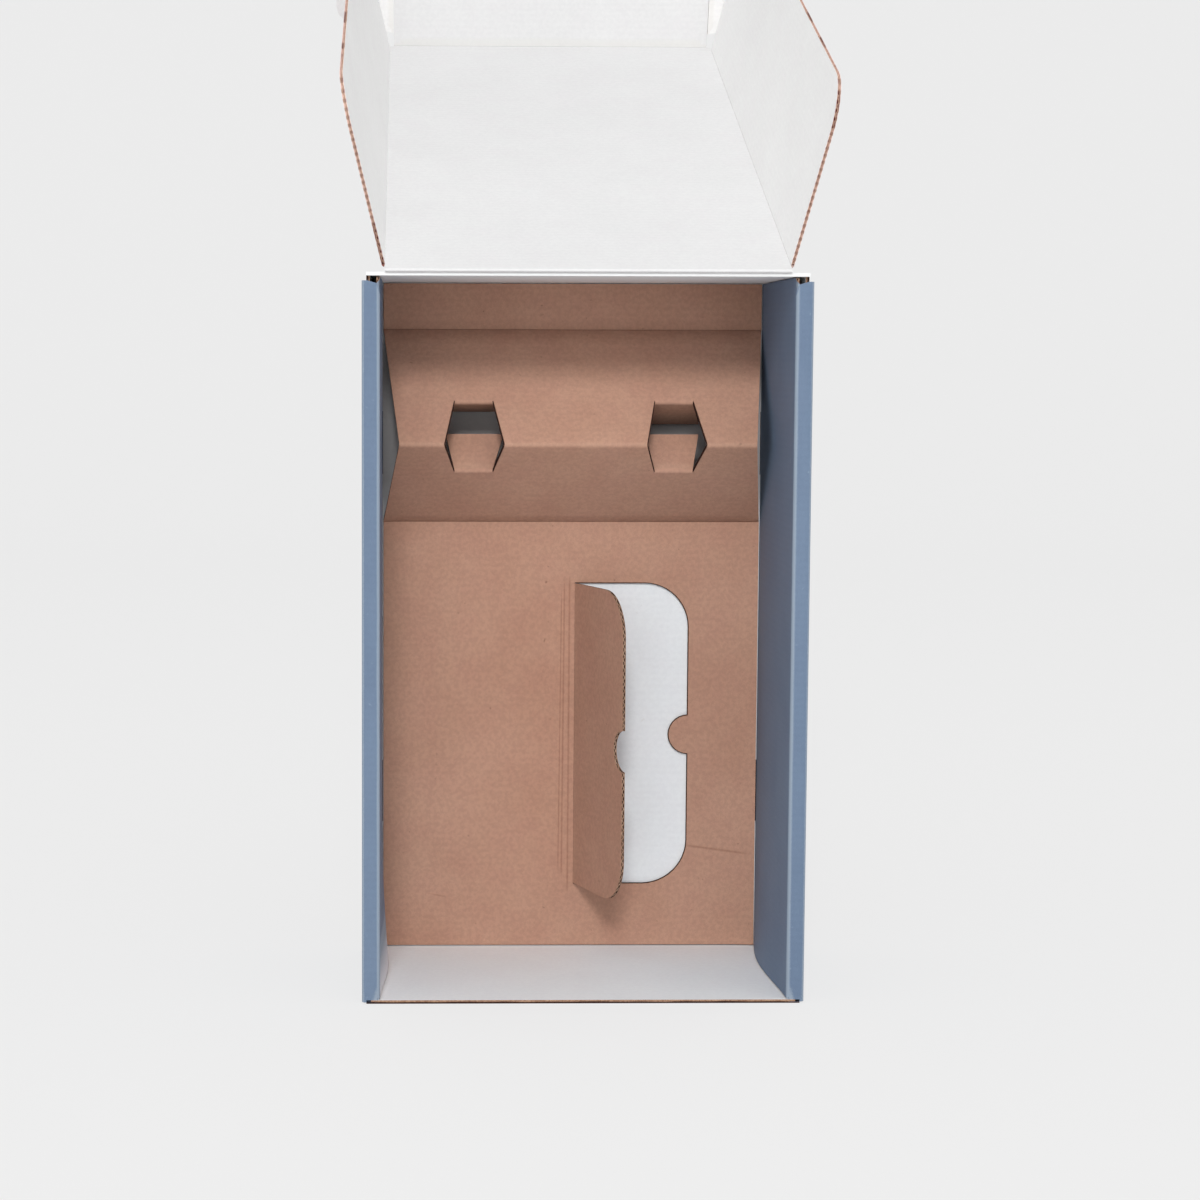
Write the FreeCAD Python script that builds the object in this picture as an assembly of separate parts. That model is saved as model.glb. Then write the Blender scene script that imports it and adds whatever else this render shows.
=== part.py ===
import FreeCAD, Part
import math
import os

# Two-bottle shipping box: a corrugated tray with rolled side walls, a hinged lid with
# wings and a tuck flap, and a folded insert that carries two bottles by base and neck.
# It stands upright on its front wall, with the mouth towards -Y and the lid laid back.
# Frame: X to the right, Y away from the viewer, Z up. The origin is the middle of the
# outer face of the front wall, on which the box stands. Millimetres and degrees.

Vector = FreeCAD.Vector

# Board
board = 1.6                 # thickness of the corrugated board
fold_round = 1.2            # outside radius of a folded corner

# Tray
tray_length = 330.0         # front wall outside to back wall outside
tray_width = 201.0          # side wall outside to side wall outside
tray_depth = 102.4          # rim to outside of the bottom
roll_width = 8.1            # rolled side wall, outer face to inner face
side_front_gap = 0.6        # side wall end behind the front wall's outer face
side_back_gap = 3.8         # side wall end below the back wall's outer face
wall_end_gap = 0.4          # end of a front or back wall to the side wall's inner face
notch_depth = 3.3           # V notch at the back end of the rolled rim
notch_half = 4.0
dust_length = 62.0          # corner flaps hidden inside the rolled side walls
dust_taper = 9.0
dust_top_gap = 1.0          # corner flap below the rolled rim
tab_width = 30.0            # locking tabs of the inner side panels
tab_place = 79.2            # middle of a tab, from the front wall or the back wall
tab_gap = 0.3               # air round a tab in its slot

# Insert
insert_gap = 0.6            # insert to each side wall
insert_end_gap = 0.5        # insert to the front wall and the back wall
insert_lift = 0.2           # insert above the bottom
strip_length = 22.2         # flat strip behind the tent
rear_run = 54.1             # tent, ridge to rear fold
front_run = 39.1            # tent, ridge to front fold
ridge_height = 45.0         # ridge above the flat panel
ridge_half = 84.0           # half the ridge's width, cut back at both ends
hole_pitch = 95.2           # neck hole to neck hole
hole_shift = -1.2           # middle of the two holes, off the middle line
hole_half = 14.2            # half width of a neck hole at the ridge
hole_end_half = 9.2         # half width at its ends
hole_rear = 26.4            # reach up the rear slope
hole_front = 20.6           # reach down the front slope
tab_short = 1.2             # what a neck tab lacks to the ridge
rear_tab_angles = (122.0, 108.0)
front_tab_angle = 85.0

# Divider flap, cut out of the flat panel and folded up from it
divider_fold_x = 1.8
divider_width = 56.2
divider_low = 32.8
divider_high = 182.6
divider_round = 22.0
divider_gap = 0.5           # cut line between the flap and its opening
divider_rise = 70.0         # angle above the flat panel
thumb_radius = 9.4
thumb_place = 107.4

# Lid
lid_rise = 24.4             # angle of the open lid above the horizontal
lid_seat = 0.2              # closed lid to the rim
lid_side_gap = 10.3         # wing fold to the side wall's outer face
hinge_gap = 0.05            # lid laid back flat, to the back wall
tuck_wall_gap = 0.6         # closed tuck flap to the front wall

# Lid wings
wing_reach = 83.5           # fold to free edge
wing_start = 5.0            # first end, from the lid hinge
wing_end_gap = 5.0          # last end, from the tuck fold
wing_round = 21.0
wing_splay = {"left": 12.5, "right": 11.0}
knuckle_free = 12.0         # angle kept open outside a wing fold, for its travel

# Tuck flap and its ears
tuck_reach = 42.0
tuck_step = 2.2             # ear fold to the line of the wing fold
tuck_angle = 84.0           # angle from the lid's own plane
tuck_free = 2.0
ear_length = 32.0
ear_low = 7.0               # ear's lower edge at its fold
ear_low_tip = 15.0          # and at its tip
ear_round = 9.0
ear_cut = 0.3               # slit of the ear fold

# Places that follow from the sizes
half_width = tray_width / 2
rim_y = -tray_depth / 2
bottom_y = tray_depth / 2
floor_y = bottom_y - board
inner_half = half_width - roll_width
wall_half = half_width - board - wall_end_gap
back_inner = tray_length - board
insert_half = inner_half - insert_gap
insert_top = floor_y - insert_lift - board
insert_front = board + insert_end_gap
insert_back = back_inner - insert_end_gap
fold_rear = insert_back - strip_length
ridge_z = fold_rear - rear_run
fold_front = ridge_z - front_run
ridge_y = insert_top - ridge_height
hinge_y = rim_y - lid_seat - board / 2
hinge_z = tray_length + board / 2 + hinge_gap
lid_half = half_width - lid_side_gap
lid_length = hinge_z - board - tuck_wall_gap - board
tuck_half = lid_half - tuck_step


def block(x0, x1, y0, y1, z0, z1):
    return Part.makeBox(x1 - x0, y1 - y0, z1 - z0, Vector(x0, y0, z0))


def closed_wire(points):
    return Part.makePolygon([Vector(*point) for point in points] + [Vector(*points[0])])


def prism(points, travel):
    return Part.Face(closed_wire(points)).extrude(Vector(*travel))


def join(shapes):
    return shapes[0].fuse(shapes[1:]).removeSplitter()


def mirrored(shape):
    return shape.mirror(Vector(0, 0, 0), Vector(1, 0, 0))


def turned(shape, centre, axis, angle):
    copy = shape.copy()
    copy.rotate(Vector(*centre), Vector(*axis), angle)
    return copy


def edges_along(shape, axis, where):
    """Straight edges that run along one axis and pass a test on their middle point."""
    picked = []
    for edge in shape.Edges:
        direction = edge.Vertexes[-1].Point.sub(edge.Vertexes[0].Point)
        if direction.Length < 1e-6:
            continue
        if abs(direction.normalize().dot(Vector(*axis))) > 0.999 and where(edge.CenterOfMass):
            picked.append(edge)
    return picked


def near(value, target):
    return abs(value - target) < 0.01


def sector(length, start, span):
    """Rounded outside of a fold along X: its angles run from +Y towards +Z."""
    wedge = Part.makeCylinder(board, length, Vector(0, 0, 0), Vector(0, 0, 1), span)
    wedge.rotate(Vector(0, 0, 0), Vector(1, 1, 1), 120)
    wedge.rotate(Vector(0, 0, 0), Vector(1, 0, 0), start)
    return wedge


# Tray

def rolled_side():
    """Right side wall: outer panel, rim strip and inner panel, one bend after another."""
    low = side_front_gap
    high = tray_length - side_back_gap
    outer = block(half_width - board, half_width, rim_y, bottom_y, low, high)
    strip = block(inner_half, half_width, rim_y, rim_y + board, low, high)
    inner_low = board + insert_end_gap
    inner_high = back_inner - side_back_gap
    inner = block(inner_half, inner_half + board, rim_y, floor_y, inner_low, inner_high)
    side = join([outer, strip, inner])
    crease = inner_half + board
    notch = prism([(crease - notch_half, rim_y, high),
                   (crease, rim_y, high - notch_depth),
                   (crease + notch_half, rim_y, high)], (0, board, 0))
    return side.cut(notch)


def locking_tabs(grow):
    """Tabs on the inner side panel that pass through the bottom, or their slots."""
    tabs = []
    for middle in (tab_place, tray_length - tab_place):
        tabs.append(block(inner_half - grow, inner_half + board + grow,
                          floor_y - grow, bottom_y + grow,
                          middle - tab_width / 2 - grow, middle + tab_width / 2 + grow))
    return tabs


def corner_flap(z0, z1, z2):
    """Flap folded from a front or back wall into the hollow of the right side wall."""
    top = rim_y + board + dust_top_gap
    points = [(wall_half - board, rim_y + board, z0), (wall_half - board, top, z1),
              (wall_half - board, top + dust_taper, z2),
              (wall_half - board, floor_y - dust_taper, z2),
              (wall_half - board, floor_y, z1), (wall_half - board, floor_y, z0)]
    return prism(points, (board, 0, 0))


def end_wall(outside, inside, flap_end):
    """Front or back wall between its outside and inside height, with two corner flaps."""
    low, high = sorted((outside, inside))
    wall = block(-wall_half, wall_half, rim_y, bottom_y, low, high)
    flap = corner_flap(outside, inside, flap_end)
    return [wall, flap, mirrored(flap)]


def corner_blank(a, b, sign_a, sign_b, length):
    """What a rounded corner at (a, b) lacks of a sharp one, drawn along Z."""
    radius = min(fold_round, 0.9 * board)
    x0, x1 = sorted((a, a - sign_a * radius))
    y0, y1 = sorted((b, b - sign_b * radius))
    blank = block(x0, x1, y0, y1, 0, length)
    centre = Vector(a - sign_a * radius, b - sign_b * radius, 0)
    return blank.cut(Part.makeCylinder(radius, length, centre, Vector(0, 0, 1)))


def upright_rounder(x, y, sign_x, sign_y):
    return corner_blank(x, y, sign_x, sign_y, tray_length)


def level_rounder(z, sign_z):
    """Rounds the fold of the front or back wall to the bottom, which runs along X."""
    blank = corner_blank(bottom_y, z, 1, sign_z, tray_width)
    blank.rotate(Vector(0, 0, 0), Vector(1, 1, 1), 120)
    blank.translate(Vector(-half_width, 0, 0))
    return blank


def build_tray():
    bottom = block(-wall_half, wall_half, floor_y, bottom_y, 0, tray_length)
    edge = block(-half_width, half_width, floor_y, bottom_y,
                 side_front_gap, tray_length - side_back_gap)
    side = rolled_side()
    parts = [bottom, edge, side, mirrored(side)]
    parts += end_wall(0, board, dust_length)
    parts += end_wall(tray_length, back_inner, tray_length - dust_length)
    tray = join(parts)
    for slot in locking_tabs(tab_gap):
        hole = slot.common(block(-half_width, half_width, floor_y, bottom_y + board,
                                 0, tray_length))
        tray = tray.cut([hole, mirrored(hole)])
    tabs = [tab.common(block(-half_width, half_width, floor_y - board, bottom_y,
                             0, tray_length)) for tab in locking_tabs(0)]
    tray = join([tray] + tabs + [mirrored(tab) for tab in tabs])

    cutters = []
    for side_sign in (-1, 1):
        cutters.append(upright_rounder(side_sign * half_width, rim_y, side_sign, -1))
        cutters.append(upright_rounder(side_sign * half_width, bottom_y, side_sign, 1))
        cutters.append(upright_rounder(side_sign * inner_half, rim_y, -side_sign, -1))
    cutters += [level_rounder(0, -1), level_rounder(tray_length, 1)]
    return tray.cut(cutters)


# Insert

def insert_profile():
    """Section of the folded sheet in the YZ plane, upper face first, then lower face."""
    top = insert_top
    low = insert_top + board
    rear_angle = math.atan2(ridge_height, rear_run)
    front_angle = math.atan2(ridge_height, front_run)
    # shifts of the lower face's corners where the sheet turns
    rear_shift = board * math.tan(rear_angle / 2)
    front_shift = board * math.tan(front_angle / 2)
    rear_line = board / math.cos(rear_angle)
    front_line = board / math.cos(front_angle)
    slope_sum = math.tan(rear_angle) + math.tan(front_angle)
    apex_drop = (rear_line * math.tan(front_angle) + front_line * math.tan(rear_angle)) / slope_sum
    apex_shift = (front_line - rear_line) / slope_sum
    return [(top, insert_front), (top, fold_front), (ridge_y, ridge_z), (top, fold_rear),
            (top, insert_back), (low, insert_back), (low, fold_rear - rear_shift),
            (ridge_y + apex_drop, ridge_z + apex_shift), (low, fold_front + front_shift),
            (low, insert_front)]


def side_relief():
    """Wedge beside the right end of the tent, from full width down to the ridge."""
    far = insert_half + board
    points = [(insert_half, 0, fold_front), (ridge_half, 0, ridge_z),
              (insert_half, 0, fold_rear), (far, 0, fold_rear), (far, 0, fold_front)]
    wedge = Part.Face(closed_wire(points)).extrude(Vector(0, floor_y - ridge_y + board, 0))
    wedge.translate(Vector(0, ridge_y - board, 0))
    return wedge


def slope_frame(run):
    """Unit vector from the ridge down one slope, and the slope's inward normal."""
    length = math.hypot(ridge_height, run)
    down = Vector(0, ridge_height / length, run / length)
    if run > 0:
        inward = Vector(0, run / length, -ridge_height / length)
    else:
        inward = Vector(0, -run / length, ridge_height / length)
    return down, inward


def half_hole(middle, run, reach):
    """Part of a neck hole on one slope, cut square through the board."""
    down, inward = slope_frame(run)
    ridge = Vector(middle, ridge_y, ridge_z)
    corners = [ridge + Vector(-hole_half, 0, 0), ridge + Vector(hole_half, 0, 0),
               ridge + Vector(hole_end_half, 0, 0) + down * reach,
               ridge + Vector(-hole_end_half, 0, 0) + down * reach]
    lift = inward * -board
    wire = Part.makePolygon([corner + lift for corner in corners + corners[:1]])
    return Part.Face(wire).extrude(inward * (3 * board))


def neck_tab(middle, run, reach, angle):
    """Tab left in a neck hole, folded in about the hole's end edge."""
    down, inward = slope_frame(run)
    ridge = Vector(middle, ridge_y, ridge_z)
    length = reach - tab_short
    flare = hole_end_half + (hole_half - hole_end_half) * length / reach
    end = ridge + down * reach
    free = ridge + down * tab_short
    corners = [end + Vector(-hole_end_half, 0, 0), end + Vector(hole_end_half, 0, 0),
               free + Vector(flare, 0, 0), free + Vector(-flare, 0, 0)]
    tab = Part.Face(Part.makePolygon(corners + corners[:1])).extrude(inward * board)
    pivot = end + inward * board
    turn = -angle if run < 0 else angle
    tab.rotate(pivot, Vector(1, 0, 0), turn)
    outward = math.degrees(math.atan2(-inward.z, -inward.y))
    bend = sector(2 * hole_end_half, outward + min(turn, 0), angle)
    bend.translate(pivot + Vector(-hole_end_half, 0, 0))
    return tab.fuse(bend)


def divider_outline(gap):
    """Outline in XZ of the divider's opening (gap 0) or of the flap itself."""
    left = divider_fold_x
    right = divider_fold_x + divider_width - gap
    low = divider_low + gap
    high = divider_high - gap
    radius = divider_round - gap
    diagonal = radius * (1 - math.sqrt(0.5))
    thumb = thumb_radius + gap
    y = insert_top
    edges = [
        Part.makeLine(Vector(left, y, low), Vector(right - radius, y, low)),
        Part.Arc(Vector(right - radius, y, low), Vector(right - diagonal, y, low + diagonal),
                 Vector(right, y, low + radius)).toShape(),
        Part.makeLine(Vector(right, y, low + radius), Vector(right, y, thumb_place - thumb)),
        Part.Arc(Vector(right, y, thumb_place - thumb), Vector(right - thumb, y, thumb_place),
                 Vector(right, y, thumb_place + thumb)).toShape(),
        Part.makeLine(Vector(right, y, thumb_place + thumb), Vector(right, y, high - radius)),
        Part.Arc(Vector(right, y, high - radius), Vector(right - diagonal, y, high - diagonal),
                 Vector(right - radius, y, high)).toShape(),
        Part.makeLine(Vector(right - radius, y, high), Vector(left, y, high)),
        Part.makeLine(Vector(left, y, high), Vector(left, y, low)),
    ]
    return Part.Face(Part.Wire(edges))


def build_insert():
    profile = [(-insert_half, y, z) for y, z in insert_profile()]
    sheet = prism(profile, (2 * insert_half, 0, 0))
    wedge = side_relief()
    cuts = [wedge, mirrored(wedge), divider_outline(0).extrude(Vector(0, board, 0))]
    middles = [hole_shift - hole_pitch / 2, hole_shift + hole_pitch / 2]
    for middle in middles:
        cuts.append(half_hole(middle, rear_run, hole_rear))
        cuts.append(half_hole(middle, -front_run, hole_front))
    sheet = sheet.cut(cuts)
    tabs = []
    for middle, angle in zip(middles, rear_tab_angles):
        tabs.append(neck_tab(middle, rear_run, hole_rear, angle))
        tabs.append(neck_tab(middle, -front_run, hole_front, front_tab_angle))
    return join([sheet] + tabs)


def build_divider():
    flap = divider_outline(divider_gap).extrude(Vector(0, board, 0))
    return turned(flap, (divider_fold_x, insert_top, 0), (0, 0, 1), -divider_rise)


# Lid, drawn in its own plane: x across, y from the hinge to the tuck fold, z towards the
# inside of the closed box, with the inner face at z = 0. Then it is set at its open angle.

def in_place(shape):
    """Moves a lid piece from the lid's own plane to the open lid."""
    moved = shape.copy()
    moved.translate(Vector(0, 0, board / 2))
    moved.rotate(Vector(0, 0, 0), Vector(1, 0, 0), lid_rise)
    moved.translate(Vector(0, hinge_y, hinge_z))
    return moved


def build_lid():
    panel = block(-lid_half, lid_half, 0, lid_length, -board, 0)
    bead = Part.makeCylinder(board / 2, 2 * lid_half, Vector(-lid_half, 0, -board / 2),
                             Vector(1, 0, 0))
    lid = join([panel, bead])
    for x0 in (-lid_half, tuck_half):
        lid = lid.cut(block(x0, x0 + tuck_step, lid_length - board, lid_length, -board, 0))
    return in_place(lid)


def wing_outline():
    y0 = wing_start
    y1 = lid_length - wing_end_gap
    top = wing_reach
    radius = wing_round
    diagonal = radius * (1 - math.sqrt(0.5))
    edges = [
        Part.makeLine(Vector(0, y0, 0), Vector(0, y0, top - radius)),
        Part.Arc(Vector(0, y0, top - radius), Vector(0, y0 + diagonal, top - diagonal),
                 Vector(0, y0 + radius, top)).toShape(),
        Part.makeLine(Vector(0, y0 + radius, top), Vector(0, y1 - radius, top)),
        Part.Arc(Vector(0, y1 - radius, top), Vector(0, y1 - diagonal, top - diagonal),
                 Vector(0, y1, top - radius)).toShape(),
        Part.makeLine(Vector(0, y1, top - radius), Vector(0, y1, 0)),
        Part.makeLine(Vector(0, y1, 0), Vector(0, y0, 0)),
    ]
    return Part.Face(Part.Wire(edges))


def build_wing(splay):
    """Right wing, leaning outwards from square by its splay."""
    wing = wing_outline().extrude(Vector(board, 0, 0))
    length = lid_length - wing_end_gap - wing_start
    rounding = Part.makeCylinder(board, length, Vector(0, 0, 0), Vector(0, 0, 1),
                                 90 - splay - knuckle_free)
    rounding.rotate(Vector(0, 0, 0), Vector(1, 0, 0), -90)
    rounding.translate(Vector(0, wing_start, 0))
    wing = join([wing, rounding])
    wing.rotate(Vector(0, 0, 0), Vector(0, 1, 0), splay)
    wing.translate(Vector(lid_half, 0, 0))
    return wing


def tuck_in_place(shape):
    """Turns a piece drawn flat beyond the tuck fold up to the tuck flap's angle."""
    moved = turned(shape, (0, 0, 0), (1, 0, 0), tuck_angle)
    moved.translate(Vector(0, lid_length, 0))
    return in_place(moved)


def build_tuck():
    panel = block(-tuck_half, tuck_half, 0, tuck_reach, -board, 0)
    span = tuck_angle - tuck_free
    rounding = sector(2 * tuck_half, 270 - span, span)
    rounding.translate(Vector(-tuck_half, 0, 0))
    return tuck_in_place(join([panel, rounding]))


def build_ear():
    """Right ear, in the tuck flap's plane, beyond its side fold."""
    tip = tuck_half + ear_length
    root = tuck_half + ear_cut
    high = tuck_reach
    radius = ear_round
    outline = closed_wire([(root, ear_low, 0), (tip, ear_low_tip, 0), (tip, high, 0),
                           (root, high, 0)])
    ear = Part.Face(outline).extrude(Vector(0, 0, -board))
    corners = edges_along(ear, (0, 0, 1), lambda point: near(point.x, tip))
    return ear.makeFillet(radius, corners)


def build_parts():
    right_wing = build_wing(wing_splay["right"])
    left_wing = mirrored(build_wing(wing_splay["left"]))
    ear = build_ear()
    return {
        "tray": build_tray(),
        "insert": build_insert(),
        "divider_flap": build_divider(),
        "lid": build_lid(),
        "lid_wing_left": in_place(left_wing),
        "lid_wing_right": in_place(right_wing),
        "tuck_flap": build_tuck(),
        "tuck_ear_left": tuck_in_place(mirrored(ear)),
        "tuck_ear_right": tuck_in_place(ear),
    }


os.makedirs("parts", exist_ok=True)
for name, shape in build_parts().items():
    solid = shape.Solids[0] if len(shape.Solids) == 1 else shape
    print(name, "solids", len(shape.Solids), "valid", shape.isValid(),
          "volume", round(shape.Volume / 1000, 2))
    solid.exportStep("parts/" + name + ".step")
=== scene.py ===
import math

import bpy
import bmesh
from mathutils import Matrix, Vector
from mathutils.geometry import delaunay_2d_cdt


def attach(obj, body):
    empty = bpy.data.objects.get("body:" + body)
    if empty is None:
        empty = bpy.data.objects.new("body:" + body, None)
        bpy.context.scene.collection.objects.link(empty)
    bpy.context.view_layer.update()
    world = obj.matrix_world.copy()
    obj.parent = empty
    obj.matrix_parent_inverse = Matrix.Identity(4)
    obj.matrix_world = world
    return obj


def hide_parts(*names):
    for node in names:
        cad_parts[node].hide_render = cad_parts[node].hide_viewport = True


# Two-bottle shipping box. Every folded sheet of corrugated board is made from its flat
# blank: the blank's outline is cut, given two liners with an open groove between them at
# each cut edge, and folded into place. The flutes that show in the groove are one ribbon
# that waves between the liners. Metres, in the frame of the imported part.

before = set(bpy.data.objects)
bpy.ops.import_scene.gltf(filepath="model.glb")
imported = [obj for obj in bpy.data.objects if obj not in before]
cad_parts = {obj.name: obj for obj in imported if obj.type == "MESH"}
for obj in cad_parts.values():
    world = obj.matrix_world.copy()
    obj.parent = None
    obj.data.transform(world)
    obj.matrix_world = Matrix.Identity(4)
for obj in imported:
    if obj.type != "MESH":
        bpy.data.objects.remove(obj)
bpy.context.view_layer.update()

MM = 0.001

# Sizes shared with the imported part, in millimetres
board = 1.6
liner = 0.25
groove = 0.9
sharp_angle = math.radians(40.0)
flute_pitch = 3.3
flute_turns = 2 * math.pi / (flute_pitch * MM)
tray_length, tray_width, tray_depth = 330.0, 201.0, 102.4
roll_width = 8.1
half_width = tray_width / 2
inner_half = half_width - roll_width
rim_y = -tray_depth / 2
bottom_y = tray_depth / 2
floor_y = bottom_y - board

# Places of a sheet's finishes; the last is the outer face of the tray's middle panels
outer_face, inner_face, cut_edge, deep_edge, middle_face = range(5)


# Nodes and objects

def new_node(tree, kind, settings, values):
    """Adds a node: its settings first, then its sockets' values or links."""
    made = tree.nodes.new(kind)
    for key, setting in settings.items():
        setattr(made, key, setting)
    for key, value in values.items():
        if isinstance(value, bpy.types.NodeSocket):
            tree.links.new(value, made.inputs[key])
        else:
            made.inputs[key].default_value = value
    return made


def added(name, data):
    """New object of the scene with this data."""
    made = bpy.data.objects.new(name, data)
    bpy.context.scene.collection.objects.link(made)
    return made


def added_mesh(name, mesh):
    """New object of the scene made of this bmesh, which is freed."""
    data = bpy.data.meshes.new(name)
    mesh.to_mesh(data)
    mesh.free()
    return added(name, data)


# Shader maths

class Val:
    """A socket of a shader tree whose operators add Math nodes."""

    def __init__(self, tree, socket):
        self.tree = tree
        self.socket = socket

    def math(self, operation, *others):
        values = {index + 1: other for index, other in enumerate(others)}
        values[0] = self
        return self.tree.node("ShaderNodeMath", {"operation": operation}, values)[0]

    def swapped(self, operation, other):
        return self.tree.node("ShaderNodeMath", {"operation": operation}, {0: other, 1: self})[0]

    def __add__(self, other):
        return self.math("ADD", other)

    __radd__ = __add__

    def __mul__(self, other):
        return self.math("MULTIPLY", other)

    __rmul__ = __mul__

    def __sub__(self, other):
        return self.math("SUBTRACT", other)

    def __rsub__(self, other):
        return self.swapped("SUBTRACT", other)

    def above(self, edge):
        return self.math("GREATER_THAN", edge)

    def clamped(self):
        return self.tree.node("ShaderNodeClamp", {}, {0: self})[0]

    def ramp(self, low, high, first=0.0, last=1.0):
        """Smooth step from first at low to last at high."""
        return self.tree.node("ShaderNodeMapRange", {"interpolation_type": "SMOOTHSTEP"},
                              {0: self, 1: low, 2: high, 3: first, 4: last})[0]


class Finish:
    """One material, made node by node."""

    def __init__(self, name):
        self.material = bpy.data.materials.new(name)
        self.material.use_nodes = True
        self.tree = self.material.node_tree
        self.tree.nodes.clear()
        self.output = self.tree.nodes.new("ShaderNodeOutputMaterial")

    def node(self, kind, settings, values):
        """Adds a node and returns its outputs, ready for maths."""
        sockets = {key: value.socket if isinstance(value, Val) else value
                   for key, value in values.items()}
        made = new_node(self.tree, kind, settings, sockets)
        return [Val(self, socket) for socket in made.outputs if socket.enabled]

    def blend(self, factor, first, second, how="MIX"):
        """Colour mix. The colour sockets of a Mix node are its sockets 6 and 7."""
        return self.node("ShaderNodeMix", {"data_type": "RGBA", "blend_type": how},
                         {0: factor, 6: first, 7: second})[0]

    def place(self):
        """Object coordinates, which are the frame's own."""
        return self.node("ShaderNodeTexCoord", {}, {})[3]

    def blank(self):
        """Place on the flat blank, in metres."""
        return self.node("ShaderNodeUVMap", {"uv_map": "blank"}, {})[0]

    def split(self, vector):
        return self.node("ShaderNodeSeparateXYZ", {}, {0: vector})

    def stretched(self, vector, scale):
        return self.node("ShaderNodeMapping", {}, {0: vector, 3: scale})[0]

    def noise(self, vector, scale, detail=3.0, rough=0.55):
        return self.node("ShaderNodeTexNoise", {},
                         {"Vector": vector, "Scale": scale, "Detail": detail,
                          "Roughness": rough})[0]

    def bump(self, height, distance, strength):
        return self.node("ShaderNodeBump", {}, {"Height": height, "Distance": distance,
                                                "Strength": strength})[0]

    def surface(self, values):
        shader = self.node("ShaderNodeBsdfPrincipled", {}, values)[0]
        self.tree.links.new(shader.socket, self.output.inputs[0])
        return self.material


def tone(red, green, blue):
    """Linear colour of a screen colour given as 0 to 255."""
    linear = []
    for part in (red, green, blue):
        part = part / 255
        linear.append(part / 12.92 if part < 0.04045 else ((part + 0.055) / 1.055) ** 2.4)
    return (*linear, 1.0)


# Flat blanks, cut and folded

def unit(angle):
    """Unit vector at an angle."""
    return Vector((math.cos(angle), math.sin(angle)))


def left_of(heading):
    """The heading, turned a quarter to its left."""
    return Vector((-heading.y, heading.x))


def halfway(p, q):
    """Middle between two points of a blank."""
    return (p[0] + q[0]) / 2, (p[1] + q[1]) / 2


def arc_points(centre, radius, start, stop, steps):
    """Points on an arc, angles in degrees from +a towards +s, both ends included."""
    points = []
    for step in range(steps + 1):
        angle = math.radians(start + (stop - start) * step / steps)
        points.append((centre[0] + radius * math.cos(angle),
                       centre[1] + radius * math.sin(angle)))
    return points


class FoldedLine:
    """Middle line of a folded sheet's section, with a small round at each fold."""

    def __init__(self, points, radius):
        self.points = [Vector(point) for point in points]
        self.runs = [(after - before).length
                     for before, after in zip(self.points, self.points[1:])]
        self.places = [sum(self.runs[:index]) for index in range(len(self.points))]
        self.headings = [math.atan2(*(after - before).yx)
                         for before, after in zip(self.points, self.points[1:])]
        self.radius = radius

    def turn(self, fold):
        change = self.headings[fold] - self.headings[fold - 1]
        return (change + math.pi) % (2 * math.pi) - math.pi

    def reach(self, fold):
        return self.radius * math.tan(abs(self.turn(fold)) / 2)

    def rows(self):
        """Places along the line where the sheet needs a row of points for its folds."""
        found = []
        for fold in range(1, len(self.points) - 1):
            for share in (-1.0, -0.66, -0.33, 0.0, 0.33, 0.66, 1.0):
                found.append(self.places[fold] + share * self.reach(fold))
        return found

    def at(self, s):
        """Point and normal of the line at a distance s; the normal points to its left."""
        for fold in range(1, len(self.points) - 1):
            reach = self.reach(fold)
            if abs(s - self.places[fold]) < reach:
                turn = self.turn(fold)
                share = (s - self.places[fold] + reach) / (2 * reach)
                side = 1.0 if turn > 0 else -1.0
                along = unit(self.headings[fold - 1])
                first = left_of(along) * side
                normal = left_of(unit(self.headings[fold - 1] + turn * share))
                centre = self.points[fold] - along * reach + first * self.radius
                return centre - normal * side * self.radius, normal
        run = 0
        while run < len(self.runs) - 1 and s > self.places[run + 1]:
            run += 1
        along = unit(self.headings[run])
        return self.points[run] + along * (s - self.places[run]), left_of(along)


def inside(point, loops):
    """Even-odd test of a point against the outline and its holes."""
    a, s = point
    odd = False
    for loop in loops:
        for (a0, s0), (a1, s1) in zip(loop, loop[1:] + loop[:1]):
            if (s0 > s) != (s1 > s) and a < a0 + (s - s0) / (s1 - s0) * (a1 - a0):
                odd = not odd
    return odd


def divided(loop, step, rows):
    """The loop with points at every row that it crosses and none further than step apart."""
    points = []
    for (a0, s0), (a1, s1) in zip(loop, loop[1:] + loop[:1]):
        stops = {0.0}
        for row in rows:
            if abs(s1 - s0) > 1e-9 and 0.001 < (row - s0) / (s1 - s0) < 0.999:
                stops.add((row - s0) / (s1 - s0))
        ordered = sorted(stops) + [1.0]
        length = math.hypot(a1 - a0, s1 - s0)
        for low, high in zip(ordered, ordered[1:]):
            parts = max(1, math.ceil((high - low) * length / step))
            for part in range(parts):
                share = low + (high - low) * part / parts
                points.append((a0 + (a1 - a0) * share, s0 + (s1 - s0) * share))
    return points


def inset(loop, depth, sealed):
    """The loop moved into the board by depth, except where its edge is joined on."""
    area = sum(p[0] * q[1] - q[0] * p[1] for p, q in zip(loop, loop[1:] + loop[:1])) / 2
    side = 1.0 if area > 0 else -1.0
    moved = []
    for index, point in enumerate(loop):
        before = loop[index - 1]
        after = loop[(index + 1) % len(loop)]
        normals = []
        for start, end in ((before, point), (point, after)):
            edge = Vector((end[0] - start[0], end[1] - start[1])).normalized()
            normals.append(left_of(edge) * side)
        if sealed(halfway(before, point)) and sealed(halfway(after, point)):
            moved.append(point)
            continue
        total = normals[0] + normals[1]
        shift = total * (depth / max(0.35, total.length_squared / 2)) / 2
        if total.length < 0.2:
            shift = normals[0] * depth
        moved.append((point[0] + shift.x, point[1] + shift.y))
    return moved


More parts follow.
